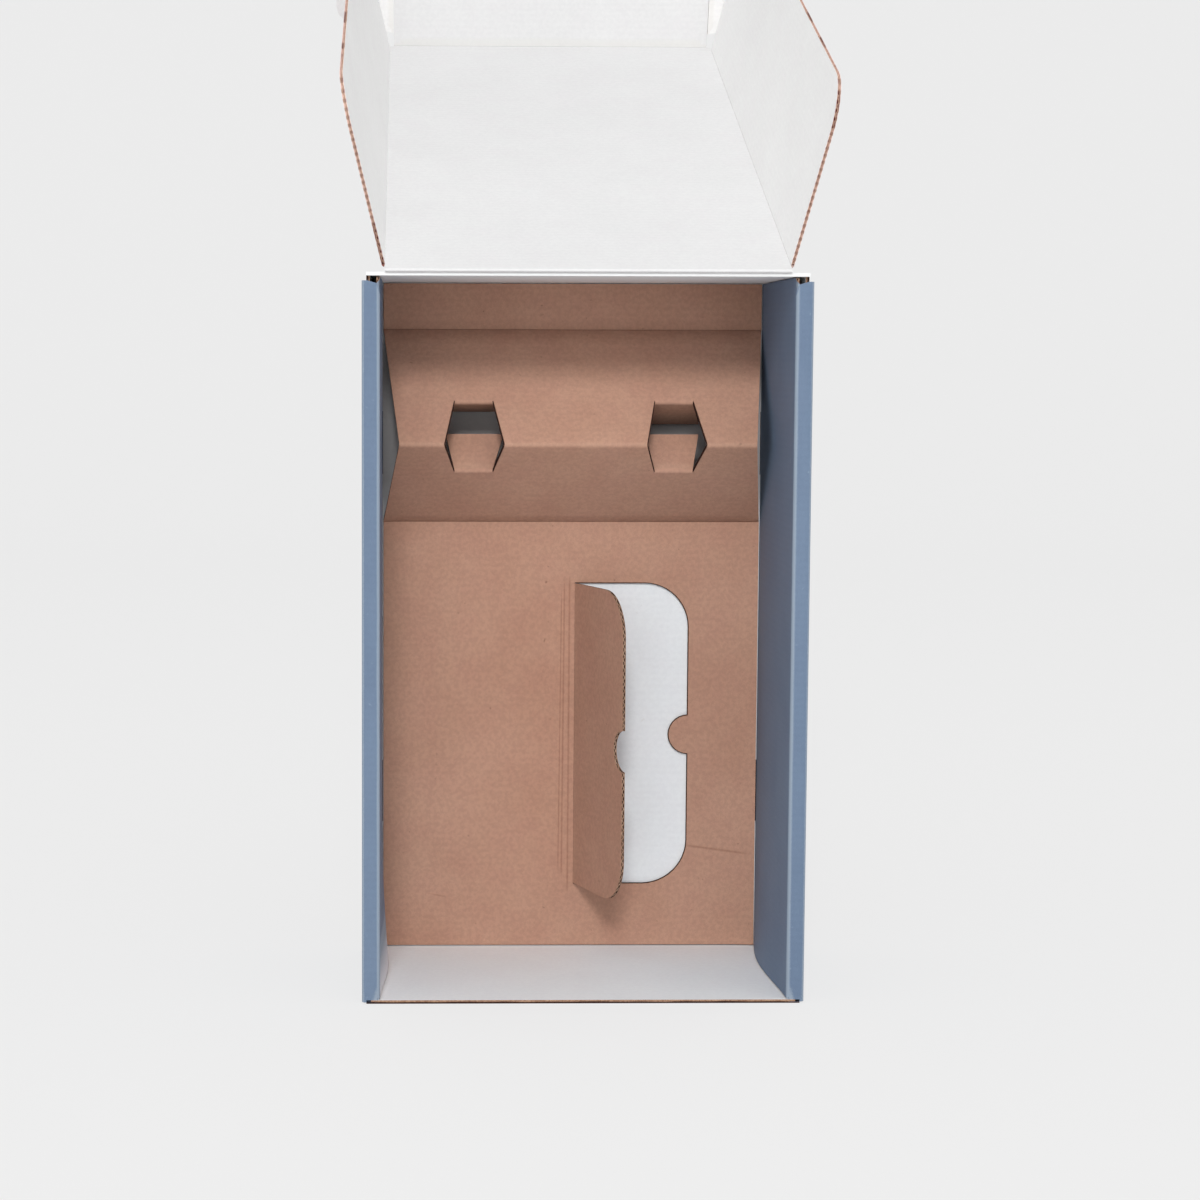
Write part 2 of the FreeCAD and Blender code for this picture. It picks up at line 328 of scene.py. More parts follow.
class Sheet:
    """A mesh under construction from one or more cut blanks, and its flute lines."""

    def __init__(self, name, slot, finishes):
        self.name = name
        self.slot = slot
        self.finishes = finishes
        self.mesh = bmesh.new()
        self.flat = self.mesh.loops.layers.uv.new("blank")
        # Value per point: scuffing above zero, painted shade below zero, a patch of painted
        # light above one
        self.worn_and_painted_light = self.mesh.verts.layers.float.new("wear_and_painted_light")
        self.flutes = []

    def cut(self, outline, place, outer=outer_face, holes=(), rows=(), step=9.0,
            sealed=lambda point: False, wear_and_painted_light=lambda point: 0.0, flute=lambda point: point[1],
            thick_outer_edge=lambda point: False, shade=lambda point: 0.0):
        """Adds one blank. place(a, s, depth) folds a point of it, depth 0 at the outer face."""
        rows = sorted(rows)
        loops = [divided(loop, 3.0, rows) for loop in [outline, *holes]]
        points = [point for loop in loops for point in loop]
        edges = []
        first = 0
        for loop in loops:
            edges += [(first + index, first + (index + 1) % len(loop))
                      for index in range(len(loop))]
            first += len(loop)
        low_a, high_a = min(p[0] for p in outline), max(p[0] for p in outline)
        low_s, high_s = min(p[1] for p in outline), max(p[1] for p in outline)
        count = max(1, round((high_s - low_s) / step))
        levels = list(rows)
        for index in range(1, count):
            level = low_s + (high_s - low_s) * index / count
            if all(abs(level - row) > 1.5 for row in rows):
                levels.append(level)
        count = max(1, round((high_a - low_a) / step))
        for level in levels:
            for index in range(1, count):
                point = (low_a + (high_a - low_a) * index / count, level)
                if inside(point, loops) and all(
                        math.hypot(point[0] - q[0], point[1] - q[1]) > 1.6
                        for loop in loops for q in loop):
                    points.append(point)
        found, _, faces, origins, _, _ = delaunay_2d_cdt(
            [Vector(point) for point in points], edges, [], 0, 1e-5)
        number = {}
        for index, sources in enumerate(origins):
            for source in sources:
                number[source] = index
        flat = [(point.x, point.y) for point in found]
        kept = [face for face in faces
                if inside((sum(flat[i][0] for i in face) / 3,
                           sum(flat[i][1] for i in face) / 3), loops)]
        self.add_shell(flat, kept, loops, number, place, outer, sealed, wear_and_painted_light, flute, thick_outer_edge,
                       shade)

    def add_shell(self, flat, faces, loops, number, place, outer, sealed, wear_and_painted_light, flute, thick_outer_edge,
                  shade):
        """Two faces of the blank, and the walls and grooves of its cut edges."""
        mesh = self.mesh

        def outer_depth(point):
            if not thick_outer_edge(point):
                return liner
            uneven = 0.5 * math.sin(point[0] * 0.31) + 0.5 * math.sin(point[0] * 0.117 + 1.0)
            return 0.72 + 0.16 * uneven

        def inner_depth(point):
            return outer_depth(point) + 0.1 if thick_outer_edge(point) else board - liner

        def vert(point, depth):
            made = mesh.verts.new(Vector(place(point[0], point[1], depth)) * MM)
            # On the inner face the painted shade under the tent lowers the value
            made[self.worn_and_painted_light] = wear_and_painted_light(point) - (shade(point) if depth > board / 2 else 0.0)
            return made

        def face(corners, spots, slot, smooth):
            made = mesh.faces.new(corners)
            made.material_index = slot
            made.smooth = smooth
            for loop, spot in zip(made.loops, spots):
                loop[self.flat].uv = (spot[0] * MM, spot[1] * MM)

        used = sorted({index for corners in faces for index in corners})
        top = {index: vert(flat[index], 0.0) for index in used}
        low = {index: vert(flat[index], board) for index in used}
        for corners in faces:
            spots = [flat[index] for index in corners]
            face([top[index] for index in corners], spots, outer, True)
            face([low[index] for index in reversed(corners)], spots[::-1], inner_face, True)
        first = 0
        for loop in loops:
            ring = [number[first + index] for index in range(len(loop))]
            first += len(loop)
            deep = inset(loop, groove, sealed)
            levels = [[top[index] for index in ring],
                      [vert(point, outer_depth(point)) for point in loop],
                      [vert(inward, outer_depth(point)) for point, inward in zip(loop, deep)],
                      [vert(inward, inner_depth(point)) for point, inward in zip(loop, deep)],
                      [vert(point, inner_depth(point)) for point in loop],
                      [low[index] for index in ring]]
            for level, (a, b) in enumerate(zip(levels, levels[1:])):
                for index in range(len(loop)):
                    after = (index + 1) % len(loop)
                    spots = [loop[index], loop[after], loop[after], loop[index]]
                    middle = halfway(loop[index], loop[after])
                    slot = cut_edge if level in (0, 4) else deep_edge
                    # On the tray a thick outer edge takes the groove's dark colour: along the
                    # front rim, a dark band of painted shade
                    if level == 0 and outer == middle_face:
                        slot = deep_edge if thick_outer_edge(middle) else middle_face
                    joined = sealed(middle)
                    if joined:
                        slot = outer if level < 2 and joined != "inner" else inner_face
                    face([a[index], a[after], b[after], b[index]], spots, slot, False)
            self.note_flutes(loop, deep, place,
                             lambda point: sealed(point) or thick_outer_edge(point), flute)

    def note_flutes(self, loop, deep, place, sealed, flute):
        """Keeps the cut edges of a loop as runs of points for the flute ribbon."""
        run = []
        count = len(loop)
        for index in range(count + 1):
            spot = loop[index % count]
            inner = deep[index % count]
            start = Vector(place(spot[0], spot[1], board / 2))
            across = (Vector(place(spot[0], spot[1], board)) - start).normalized()
            inward = Vector(place(inner[0], inner[1], board / 2)) - start
            start = start + inward * 0.14
            inward = inward * 0.84
            before = loop[index - 1] if index else loop[-1]
            if index and sealed(halfway(before, spot)) and run:
                self.flutes.append(run)
                run = []
            run.append((start, across, inward, flute(spot)))
        self.flutes.append(run)
        self.flutes = [run for run in self.flutes if len(run) > 1]

    def wedge(self, start, end, first, last, slot=outer_face):
        """Rounded outside of a fold: a sector about the line start-end, between two radii."""
        mesh = self.mesh
        steps = 8
        axis = (Vector(end) - Vector(start)).normalized()
        first, last = Vector(first), Vector(last)
        angle = first.angle(last)
        if axis.dot(first.cross(last)) < 0:
            angle = -angle
        ends = []
        for centre in (Vector(start), Vector(end)):
            ring = [mesh.verts.new(centre * MM)]
            for step in range(steps + 1):
                turn = Matrix.Rotation(angle * step / steps, 3, axis)
                ring.append(mesh.verts.new((centre + turn @ first) * MM))
            ends.append(ring)
        a, b = ends
        for step in range(1, steps + 1):
            made = mesh.faces.new((a[step], a[step + 1], b[step + 1], b[step]))
            made.material_index = slot
            made.smooth = True
        for low, high in ((0, 1), (steps + 1, 0)):
            mesh.faces.new((a[low], a[high], b[high], b[low])).material_index = slot
        for ring in ends:
            mesh.faces.new(ring).material_index = cut_edge

    def finished(self, body, node):
        """Closes the mesh, sharpens its cut edges and lets it stand for its CAD node."""
        bmesh.ops.recalc_face_normals(self.mesh, faces=self.mesh.faces)
        for edge in self.mesh.edges:
            if len(edge.link_faces) == 2:
                edge.smooth = edge.calc_face_angle(0.0) < sharp_angle
        piece = added_mesh(self.name, self.mesh)
        for finish in self.finishes:
            piece.data.materials.append(finish)
        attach(piece, body)
        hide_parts(node)
        if self.flutes:
            ribbon = flute_ribbon(self.name + "_flutes", self.flutes)
            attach(ribbon, body)


# Flutes

def flute_tree():
    """Geometry nodes: a line along a cut edge becomes a ribbon that waves between the liners."""
    tree = bpy.data.node_groups.new("flutes in a cut edge", "GeometryNodeTree")
    tree.is_modifier = True
    tree.interface.new_socket("Geometry", in_out="INPUT", socket_type="NodeSocketGeometry")
    for name, value in (("Step", 0.42), ("Pitch", flute_pitch), ("Height", 0.34)):
        socket = tree.interface.new_socket(name, in_out="INPUT", socket_type="NodeSocketFloat")
        socket.default_value = value * MM
    socket = tree.interface.new_socket("Unevenness", in_out="INPUT",
                                       socket_type="NodeSocketFloat")
    socket.default_value = 0.7
    socket = tree.interface.new_socket("Paper", in_out="INPUT",
                                       socket_type="NodeSocketMaterial")
    tree.interface.new_socket("Geometry", in_out="OUTPUT", socket_type="NodeSocketGeometry")

    def node(kind, settings, values):
        return new_node(tree, kind, settings, values).outputs[0]

    def maths(operation, *values):
        return node("ShaderNodeMath", {"operation": operation}, dict(enumerate(values)))

    def attribute(kind, name):
        return node("GeometryNodeInputNamedAttribute", {"data_type": kind}, {"Name": name})

    start = tree.nodes.new("NodeGroupInput").outputs
    line = node("GeometryNodeMeshToCurve", {}, {"Mesh": start["Geometry"]})
    fine = node("GeometryNodeResampleCurve", {"mode": "LENGTH"},
                {"Curve": line, "Length": start["Step"]})
    across = attribute("FLOAT_VECTOR", "across")
    inward = attribute("FLOAT_VECTOR", "inward")
    place = attribute("FLOAT", "flute")
    spot = node("GeometryNodeInputPosition", {}, {})
    wobble = node("ShaderNodeTexNoise", {"noise_dimensions": "3D"},
                  {"Vector": spot, "Scale": 90.0, "Detail": 1.0})
    phase = maths("MULTIPLY", maths("DIVIDE", place, start["Pitch"]), 2 * math.pi)
    drift = maths("MULTIPLY", maths("SUBTRACT", wobble, 0.5),
                  maths("MULTIPLY", start["Unevenness"], 3.0))
    wave = maths("SINE", maths("ADD", phase, drift))
    height = maths("MULTIPLY", wave, start["Height"])
    shift = node("ShaderNodeVectorMath", {"operation": "SCALE"}, {0: across, "Scale": height})
    waved = node("GeometryNodeSetPosition", {}, {"Geometry": fine, "Offset": shift})
    thread = node("GeometryNodeCurveToMesh", {}, {"Curve": waved})
    ribbon = node("GeometryNodeExtrudeMesh", {"mode": "EDGES"},
                  {"Mesh": thread, "Offset": inward, "Offset Scale": 0.97})
    whole = node("GeometryNodeRealizeInstances", {}, {"Geometry": ribbon})
    painted = node("GeometryNodeSetMaterial", {},
                   {"Geometry": whole, "Material": start["Paper"]})
    new_node(tree, "NodeGroupOutput", {}, {0: painted})
    return tree


def flute_ribbon(name, runs):
    """The waving medium of a sheet, as one plain mesh."""
    mesh = bmesh.new()
    across = mesh.verts.layers.float_vector.new("across")
    inward = mesh.verts.layers.float_vector.new("inward")
    flute = mesh.verts.layers.float.new("flute")
    for run in runs:
        last = None
        for spot, side, depth, place in run:
            point = mesh.verts.new(spot * MM)
            point[across] = side
            point[inward] = depth * MM
            point[flute] = place * MM
            if last is not None:
                mesh.edges.new((last, point))
            last = point
    lines = added_mesh(name + "_lines", mesh)
    nodes = lines.modifiers.new("flutes", "NODES")
    nodes.node_group = FLUTES
    for item in FLUTES.interface.items_tree:
        if item.item_type == "SOCKET" and item.name == "Paper" and item.in_out == "INPUT":
            nodes[item.identifier] = medium_paper
    skin = lines.modifiers.new("paper", "SOLIDIFY")
    skin.thickness = 0.34 * MM
    skin.offset = 0.0
    bpy.context.view_layer.update()
    ready = bpy.data.meshes.new_from_object(
        lines.evaluated_get(bpy.context.evaluated_depsgraph_get()))
    ready.name = name
    bpy.data.objects.remove(lines)
    return added(name, ready)


# Finishes

def clouds_shift(paint, spot):
    """Small uneven shift of a place, which keeps flecks off a regular lattice."""
    shift = paint.node("ShaderNodeTexNoise", {}, {"Vector": spot, "Scale": 90.0})[1]
    return paint.node("ShaderNodeVectorMath", {"operation": "SCALE"},
                      {0: shift, "Scale": 0.012})[0]


def crease_line(paint, across, start, end, width):
    """Soft dark line of a crease in a liner between two places of its blank, in millimetres, for
    a dent and for painted shade in it.
    """
    run = Vector((end[0] - start[0], end[1] - start[1]))
    length = run.length
    run.normalize()
    a = across[0] * (1 / MM) - start[0]
    s = across[1] * (1 / MM) - start[1]
    off = (a * -run.y + s * run.x).math("ABSOLUTE")
    along = a * run.x + s * run.y
    ends = along.ramp(-2.0, 6.0) * along.ramp(length - 6.0, length + 2.0, 1.0, 0.0)
    return off.ramp(0.0, width, 1.0, 0.0) * ends


def papery(name, colour, shade, fleck, grain, ridges, wear_colour, wear_gain, roughness,
           along=1, fleck_gain=0.5, sheen=0.25, mottle=0.15, creases=()):
    """Liner of corrugated board: fibres, clouds, flecks, faint flute lines, scuffed folds,
    painted shade and a patch of painted light.
    """
    paint = Finish(name)
    flat = paint.blank()
    spot = paint.place()
    across = paint.split(flat)
    if along == 1:
        long_way, fibre_scale = across[1], (1.0, 5.0, 1.0)
    else:
        long_way, fibre_scale = across[0], (5.0, 1.0, 1.0)
    fibre = paint.noise(paint.stretched(flat, fibre_scale), 1500.0, 4.0, 0.7)
    fine = paint.noise(spot, 2600.0, 2.0, 0.6)
    clouds = paint.noise(spot, 26.0, 4.0, 0.6)
    broad = paint.noise(spot, 7.0, 2.0, 0.5)
    shifted = paint.node("ShaderNodeVectorMath", {"operation": "ADD"},
                         {0: spot, 1: clouds_shift(paint, spot)})[0]
    specks = paint.node("ShaderNodeTexVoronoi", {"feature": "F1"},
                        {"Vector": shifted, "Scale": 300.0})
    seed = paint.split(specks[1])
    dots = specks[0].ramp(0.07, 0.19, 1.0, 0.0) * seed[0].above(0.88) * seed[1]
    spots = paint.noise(spot, 520.0, 3.0, 0.65)
    patches = paint.noise(spot, 62.0, 3.0, 0.6)
    wave = (long_way * flute_turns).math("SINE")
    worn_and_painted_light = paint.node("ShaderNodeAttribute", {"attribute_name": "wear_and_painted_light"}, {})[2]
    scuff_and_painted_light = (worn_and_painted_light * 1.25 - (1.0 - fine) * 0.55 - (1.0 - clouds) * 0.35).ramp(0.0, 0.45)
    tint = clouds.ramp(0.3, 0.7) * 0.5 + broad.ramp(0.3, 0.7) * 0.5
    body = paint.blend(tint, colour, shade)
    body = paint.blend(fibre.ramp(0.35, 0.75, 0.0, grain), body, shade, "MULTIPLY")
    body = paint.blend(wave.ramp(-1.0, 1.0, 0.0, ridges), body,
                       (0.86, 0.86, 0.86, 1.0), "MULTIPLY")
    body = paint.blend(spots.ramp(0.36, 0.64) * mottle, body, (0.78, 0.78, 0.80, 1.0),
                       "MULTIPLY")
    body = paint.blend(patches.ramp(0.35, 0.7) * mottle * 0.7, body,
                       (0.93, 0.86, 0.90, 1.0), "MULTIPLY")
    body = paint.blend(dots * fleck_gain, body, fleck)
    # Painted shade: darker where the value falls below zero, in the insert's front and rear
    # folds and under the tent
    painted_shade = (0.0 - worn_and_painted_light).clamped()
    body = paint.blend(painted_shade * 0.75, body, (0.42, 0.38, 0.36, 1.0), "MULTIPLY")
    body = paint.blend(scuff_and_painted_light * wear_gain, body, wear_colour)
    # Above one the value paints the pale patch of painted light
    body = paint.blend((worn_and_painted_light - 1.0).clamped() * 0.85, body, (0.82, 0.82, 0.86, 1.0))
    crease_dent_and_shade = 0.0
    for start, end, width in creases:
        crease_dent_and_shade = crease_line(paint, across, start, end, width) + crease_dent_and_shade
    # Painted shade darkens the creases; the bump dents them
    if creases:
        body = paint.blend((crease_dent_and_shade * 0.55).clamped(), body, (0.62, 0.52, 0.48, 1.0),
                           "MULTIPLY")
        clouds = clouds - crease_dent_and_shade * 0.8
    height = fibre * 0.25 + fine * 0.2 + wave * (0.6 * ridges) + clouds * 0.5 - scuff_and_painted_light * 0.3
    gloss = fine.ramp(0.2, 0.8, roughness - 0.06, roughness + 0.06) + scuff_and_painted_light * 0.15
    return paint.surface({"Base Color": body, "Roughness": gloss,
                          "Specular IOR Level": sheen,
                          "Normal": paint.bump(height, 0.00022, 0.35)})


def kraft_edge(name, light, dark, hollow=None):
    """Cut kraft paper: torn fibres, uneven brown, painted shade where a flute opens to the edge.
    """
    paint = Finish(name)
    spot = paint.place()
    torn = paint.noise(spot, 1400.0, 4.0, 0.7)
    patch = paint.noise(spot, 160.0, 3.0, 0.6)
    body = paint.blend(torn.ramp(0.3, 0.7), dark, light)
    body = paint.blend(patch.ramp(0.4, 0.75, 0.0, 0.55), body, dark)
    if hollow:
        place = paint.split(paint.blank())[1] * flute_turns + 2.8
        stretch = paint.noise(spot, 38.0, 2.0, 0.5)
        open_flute_shade = place.math("SINE").ramp(0.0, 0.6) * 0.6 + stretch.ramp(0.52, 0.6) * 0.7
        body = paint.blend(open_flute_shade.clamped(), body, hollow)
    return paint.surface({"Base Color": body, "Roughness": 0.92, "Specular IOR Level": 0.15,
                          "Normal": paint.bump(torn + patch, 0.0002, 0.6)})


white_look = {"fleck": tone(214, 210, 202), "grain": 0.05, "ridges": 0.07, "wear_gain": 0.5,
              "roughness": 0.72, "fleck_gain": 0.18}
kraft_look = {"colour": tone(201, 160, 138), "shade": tone(190, 148, 126),
              "fleck": tone(104, 74, 58), "grain": 0.32, "ridges": 0.12,
              "wear_colour": tone(205, 172, 148), "wear_gain": 0.14, "roughness": 0.88,
              "fleck_gain": 0.5, "sheen": 0.15, "mottle": 0.5}
# Start, end and width of each crease pressed into the insert, on its blank
insert_creases = (((-0.9, 26.0), (-0.7, 184.0), 0.8),
                  ((-3.9, 34.0), (-3.2, 182.0), 0.7),
                  ((-5.6, 38.0), (-4.6, 176.0), 0.5),
                  ((57.0, 50.0), (89.0, 45.5), 1.0),
                  ((-70.0, 26.0), (-60.0, 24.0), 0.6))

blue_print = papery("slate blue print", tone(117, 136, 160), tone(108, 127, 152),
                    fleck=tone(150, 168, 186), grain=0.22, ridges=0.14,
                    wear_colour=tone(166, 178, 190), wear_gain=0.6, roughness=0.62, along=0)
maroon_print = papery("maroon print", tone(98, 36, 47), tone(88, 30, 41),
                      fleck=tone(120, 62, 70), grain=0.25, ridges=0.16,
                      wear_colour=tone(160, 122, 110), wear_gain=0.4, roughness=0.6)
# One white liner in three copies: the lid's and tuck's painted darker as shade, the wings'
# lighter as light, the tray's tinted cool against pink light bounced off the kraft
shaded_lid_white = papery("white liner of the lid", tone(230, 230, 230), tone(226, 226, 226),
                   wear_colour=tone(222, 221, 217), **white_look)
lit_wing_white = papery("white liner of the wings", tone(248, 248, 247), tone(244, 244, 243),
                    wear_colour=tone(232, 230, 226), **white_look)
white_liner = papery("white liner of the tray", tone(245, 248, 250), tone(241, 245, 247),
                     wear_colour=tone(232, 232, 230), **white_look)
kraft_liner = papery("kraft liner", **kraft_look)
creased_kraft = papery("creased kraft liner", **kraft_look, creases=insert_creases)
cut_paper = kraft_edge("cut paper edge", tone(196, 162, 136), tone(138, 102, 80))
# The paper in the groove of a cut edge is painted dark brown as shade
groove_shade_paper = kraft_edge("paper deep in the board", tone(78, 50, 42), tone(38, 24, 20))
lid_cut_paper = kraft_edge("cut paper edge of the lid", tone(250, 234, 226),
                           tone(228, 200, 190), tone(160, 110, 100))
lid_groove_paper = kraft_edge("paper deep in the lid board", tone(236, 206, 194),
                              tone(200, 160, 148), tone(84, 34, 38))
medium_paper = kraft_edge("fluted paper", tone(214, 182, 158), tone(150, 112, 90))

FLUTES = flute_tree()


# Insert

insert_half = 91.8
insert_top = 47.8
fold_front, ridge_z, fold_rear = 212.5, 251.6, 305.7
insert_front, insert_back = 2.1, 327.9
ridge_y = 2.8
ridge_half = 84.0
hole_middles = (-48.8, 46.4)
hole_half, hole_end_half = 14.2, 9.2
hole_rear, hole_front = 26.4, 20.6
divider_hinge, opening_right = 1.8, 58.0
opening_low, opening_high, opening_corner = 32.8, 182.6, 22.0
thumb_middle, thumb_radius = 107.4, 9.4
divider_gap = 0.5
divider_turn = math.radians(-70.0)


def sheet_middle(points, thickness):
    """Middle line of a sheet whose outer face follows the points, on the line's left."""
    lines = []
    for before, after in zip(points, points[1:]):
        heading = Vector((after[0] - before[0], after[1] - before[1])).normalized()
        lines.append((Vector(before) + left_of(heading) * thickness / 2, heading))
    middle = [lines[0][0]]
    for (p, d), (q, e) in zip(lines, lines[1:]):
        cross = d.x * e.y - d.y * e.x
        along = ((q.x - p.x) * e.y - (q.y - p.y) * e.x) / cross
        middle.append(p + d * along)
    last = Vector(points[-1])
    p, d = lines[-1]
    middle.append(p + d * (last - p).dot(d))
    return middle


def near_folds(places, width):
    """Ramp of a blank from one at its folds to nothing at width: scuffing at folds, and painted
    shade where the insert turns it below zero.
    """
    def wear_and_painted_light(point):
        near = min(abs(point[1] - place) for place in places)
        return max(0.0, 1.0 - near / width)
    return wear_and_painted_light


def divider_outline(gap):
    """Outline in (x, z) of the divider's opening, or of the flap that leaves a gap to it."""
    right = opening_right - gap
    low, high = opening_low + gap, opening_high - gap
    radius = opening_corner - gap
    return [(divider_hinge, low),
            *arc_points((right - radius, low + radius), radius, -90, 0, 12),
            *arc_points((right, thumb_middle), thumb_radius + gap, 270, 90, 14),
            *arc_points((right - radius, high - radius), radius, 0, 90, 12),
            (divider_hinge, high)]


def in_opening(point):
    """Whether a point of the insert's blank lies on the edge of the divider's opening."""
    a, z = point[0], point[1] + insert_front
    return (divider_hinge - 1.0 < a < opening_right + 1.0
            and opening_low - 1.0 < z < opening_high + 1.0)


def make_insert():
    """Folded kraft blank: flat panel, tent with two neck holes, end strip."""
    outer = [(insert_top, insert_front), (insert_top, fold_front), (ridge_y, ridge_z),
             (insert_top, fold_rear), (insert_top, insert_back)]
    flat_outer = [(point[1], -point[0]) for point in outer]
    middle = sheet_middle([(z, y) for z, y in flat_outer], -board)
    line = FoldedLine(middle, 1.5)
    s_front, s_ridge, s_rear = line.places[1:4]

    def place(a, s, depth):
        point, normal = line.at(s)
        spot = point - normal * (depth - board / 2)
        sag = 0.0
        if s < s_front:
            share = s / s_front
            sag = 0.35 * math.sin(math.pi * share) * math.cos(math.pi * a / 190.0)
            curl = max(0.0, (a - 78.0) / 14.0) * max(0.0, (26.0 - s) / 26.0)
            sag += 1.1 * curl * curl
        pinch = 0.5 * sum(math.exp(-((s - fold) / 0.5) ** 2) for fold in (s_front, s_rear))
        return (a, -spot.y - sag + pinch, spot.x)

    hip = ridge_half - insert_half
    outline = [(-insert_half, 0.0), (insert_half, 0.0), (insert_half, s_front),
               (insert_half + hip, s_ridge), (insert_half, s_rear),
               (insert_half, line.places[4]), (-insert_half, line.places[4]),
               (-insert_half, s_rear), (-insert_half - hip, s_ridge), (-insert_half, s_front)]
    holes = []
    for middle_a in hole_middles:
        holes.append([(middle_a - hole_end_half, s_ridge - hole_front),
                      (middle_a + hole_end_half, s_ridge - hole_front),
                      (middle_a + hole_half, s_ridge),
                      (middle_a + hole_end_half, s_ridge + hole_rear),
                      (middle_a - hole_end_half, s_ridge + hole_rear),
                      (middle_a - hole_half, s_ridge)])
    holes.append([(a, z - insert_front) for a, z in divider_outline(0.0)])

    def sealed(point):
        a, s = point
        at_end = min(abs(s - (s_ridge - hole_front)), abs(s - (s_ridge + hole_rear))) < 0.05
        on_tab = at_end and any(abs(a - m) < hole_end_half for m in hole_middles)
        return on_tab or (in_opening(point) and abs(a - divider_hinge) < 0.05)

    def wear_and_painted_light(point):
        a, s = point
        # The front and rear folds get painted shade, the ridge gets scuffing
        valley_shade = near_folds((s_front, s_rear), 0.75)(point)
        if valley_shade > 0.0:
            return -valley_shade
        return near_folds((s_ridge,), 1.2)(point)

    sheet = Sheet("insert_board", "kraft_board",
                  [creased_kraft, kraft_liner, cut_paper, groove_shade_paper])
    sheet.cut(outline, place, outer_face, holes, line.rows(), 8.0, sealed, wear_and_painted_light,
              thick_outer_edge=in_opening)
    tabs = ((hole_middles[0], 122.0, -0.8), (hole_middles[1], 108.0, 0.9))
    for middle_a, rear_angle, skew in tabs:
        add_neck_tab(sheet, line, middle_a, s_ridge + hole_rear, -1.0, hole_rear, rear_angle,
                     skew)
        add_neck_tab(sheet, line, middle_a, s_ridge - hole_front, 1.0, hole_front, 85.0,
                     -skew)
    sheet.finished("tray", "insert")


def add_neck_tab(sheet, line, middle_a, s_end, way, reach, angle, skew):
    """Tab folded in about the end edge of a neck hole."""
    point, normal = line.at(s_end)
    ahead, _ = line.at(s_end + way)
    towards = (ahead - point).normalized()
    to_space = lambda flat: Vector((0.0, -flat.y, flat.x))
    inward = to_space(-normal)
    flat_dir = to_space(towards)
    pivot = to_space(point) + inward * board / 2
    length = reach - 1.2
    flare = hole_end_half + (hole_half - hole_end_half) * length / reach
    turn = math.radians(angle)
    out = flat_dir * math.cos(turn) + inward * math.sin(turn)
    face_in = inward * math.cos(turn) - flat_dir * math.sin(turn)

    def place(a, s, depth):
        bend = 0.5 * (s / length) ** 2
        spot = pivot + out * s - face_in * (board - depth + bend)
        return (middle_a + a + skew * s / length, spot.y, spot.z)

    outline = [(-hole_end_half, 0.0), (hole_end_half, 0.0), (flare, length), (-flare, length)]
    sheet.cut(outline, place, step=6.0, sealed=lambda point: point[1] < 0.02,
              wear_and_painted_light=near_folds((0.0,), 1.5), flute=lambda point: s_end + point[1])
    edge = Vector((middle_a, 0.0, 0.0))
    start = pivot + edge - Vector((hole_end_half, 0.0, 0.0))
    end = pivot + edge + Vector((hole_end_half, 0.0, 0.0))
    sheet.wedge(start, end, -inward * board, -face_in * board)


def make_divider():
    """Divider flap, cut from the flat panel and folded up from it."""
    along = Vector((math.cos(divider_turn), math.sin(divider_turn), 0.0))
    across = Vector((-math.sin(divider_turn), math.cos(divider_turn), 0.0))
    hinge = Vector((divider_hinge, insert_top, 0.0))

    def place(a, s, depth):
        reach = a - divider_hinge
        bow = 0.7 * math.sin(math.pi * min(1.0, reach / 56.0))
        spot = hinge + along * reach + across * (depth + bow * 0.6)
        return (spot.x, spot.y, s)

    def wear_and_painted_light(point):
        return max(0.0, 1.0 - (point[0] - divider_hinge) / 1.4)

    sheet = Sheet("divider_board", "kraft_board",
                  [kraft_liner, kraft_liner, cut_paper, groove_shade_paper])
    sheet.cut(divider_outline(divider_gap), place, step=8.0, wear_and_painted_light=wear_and_painted_light,
              sealed=lambda point: abs(point[0] - divider_hinge) < 0.05)
    sheet.finished("divider", "divider_flap")


# Lid, drawn in its own plane: x across, y from the hinge, z towards the inside

lid_half = 90.2
hinge_y = rim_y - 0.2 - board / 2
hinge_z = tray_length + board / 2 + 0.05
lid_length = hinge_z - board - 0.6 - board
lid_rise = math.radians(24.4)
fold_room = 0.04
tuck_half, tuck_reach, tuck_angle = 88.0, 42.0, math.radians(84.0)
wing_end, wing_reach, wing_corner = 5.0, 83.5, 21.0
ear_reach, ear_corner, ear_gap = 32.0, 9.0, 0.3


def on_lid(x, y, z):
    """Point of the lid's own plane, in the frame."""
    z += board / 2
    return Vector((x, hinge_y + y * math.cos(lid_rise) - z * math.sin(lid_rise),
                   hinge_z + y * math.sin(lid_rise) + z * math.cos(lid_rise)))


def on_tuck(x, y, z):
    """Point of the tuck flap's own plane, in the frame."""
    return on_lid(x, lid_length + y * math.cos(tuck_angle) - z * math.sin(tuck_angle),
                  y * math.sin(tuck_angle) + z * math.cos(tuck_angle))


def thinned(height):
    """Height over the inner face of a flap whose inner face stands a hair off its fold."""
    return fold_room + height * (board - fold_room) / board


def lid_finishes(white=lit_wing_white):
    """Finishes of a piece of the lid's board, in the order of its slots."""
    return [maroon_print, white, lid_cut_paper, lid_groove_paper]


